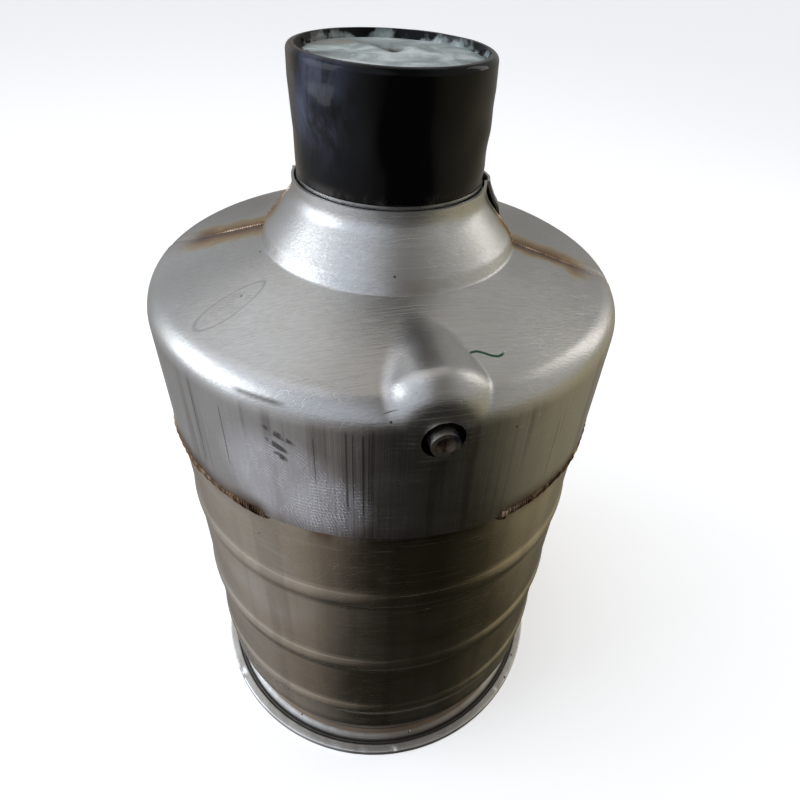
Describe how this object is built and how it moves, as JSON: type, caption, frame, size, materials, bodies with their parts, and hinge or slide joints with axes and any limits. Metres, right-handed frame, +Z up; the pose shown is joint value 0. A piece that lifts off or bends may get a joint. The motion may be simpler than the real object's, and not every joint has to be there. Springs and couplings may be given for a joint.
{
  "type": "liquid nitrogen dewar",
  "caption": "Tall round vacuum-insulated steel flask with a pressed shoulder, swaged body, flat foot ring, hooded evacuation port and a push-on black cap with a foam neck plug.",
  "frame": {"origin": "centre of the foot ring's underside", "axes": "+Z up along the vessel axis, the evacuation port faces -Y"},
  "size_m": [0.31, 0.31, 0.5275],
  "materials": {
    "shoulder_steel": "satin pressed stainless, fine horizontal grain, light scratches",
    "body_steel": "smooth rolled stainless with a faint bronze tint",
    "weld_metal": "weld bead with straw to brown heat tint",
    "foot_metal": "matt turned ring with small dark pits",
    "neck_metal": "dull grey turned metal",
    "inner_steel": "plain mill finish",
    "glass_fibre": "pale green-yellow glass-fibre laminate",
    "reflective_foil": "crinkled reflective foil and paper layers",
    "tray_aluminium": "bare sheet",
    "adsorbent": "dark granules",
    "cap_vinyl": "glossy black soft vinyl, dusty grey top",
    "cork_foam": "rigid closed-cell foam",
    "port_metal": "machined stainless",
    "seal_rubber": "black nitrile"
  },
  "bodies": {
    "vessel": {"shoulder_front_shell": "shoulder_steel", "shoulder_rear_shell": "shoulder_steel", "seam_weld_left": "weld_metal", "seam_weld_right": "weld_metal", "body_shell": "body_steel", "girth_weld": "weld_metal", "bottom_head": "body_steel", "foot_ring": "foot_metal", "foot_weld": "weld_metal", "neck_ring": "neck_metal", "neck_tube": "glass_fibre", "inner_top_head": "inner_steel", "inner_shell": "inner_steel", "inner_bottom_head": "inner_steel", "inner_top_weld": "weld_metal", "inner_bottom_weld": "weld_metal", "insulation_blanket": "reflective_foil", "adsorbent_tray": "tray_aluminium", "adsorbent_charge": "adsorbent", "base_support": "glass_fibre", "port_pocket": "shoulder_steel", "port_tube": "port_metal"},
    "lid": {"lid_cap": "cap_vinyl", "lid_cork": "cork_foam", "cork_rod": "glass_fibre", "cork_washer": "glass_fibre", "cork_nut": "glass_fibre"},
    "port_plug": {"port_plug": "port_metal", "port_o_rings": "seal_rubber"},
    "port_screw": {"port_screw": "port_metal"}
  },
  "joints": [
    {"name": "lid_lift", "type": "slide", "parent": "vessel", "child": "lid", "axis": [0, 0, 1], "range_m": [0, 0.13]},
    {"name": "port_plug_slide", "type": "slide", "parent": "vessel", "child": "port_plug", "axis": [0, -1, 0], "range_m": [0, 0.008]},
    {"name": "port_screw_turn", "type": "hinge", "parent": "port_plug", "child": "port_screw", "pos_m": [0, -0.15, 0.3835], "axis": [0, -1, 0], "range_deg": [0, 2880]}
  ],
  "couplings": [
    {"joint": "port_screw_turn", "follows": "port_plug_slide", "rad_per_m": 6283.1}
  ]
}
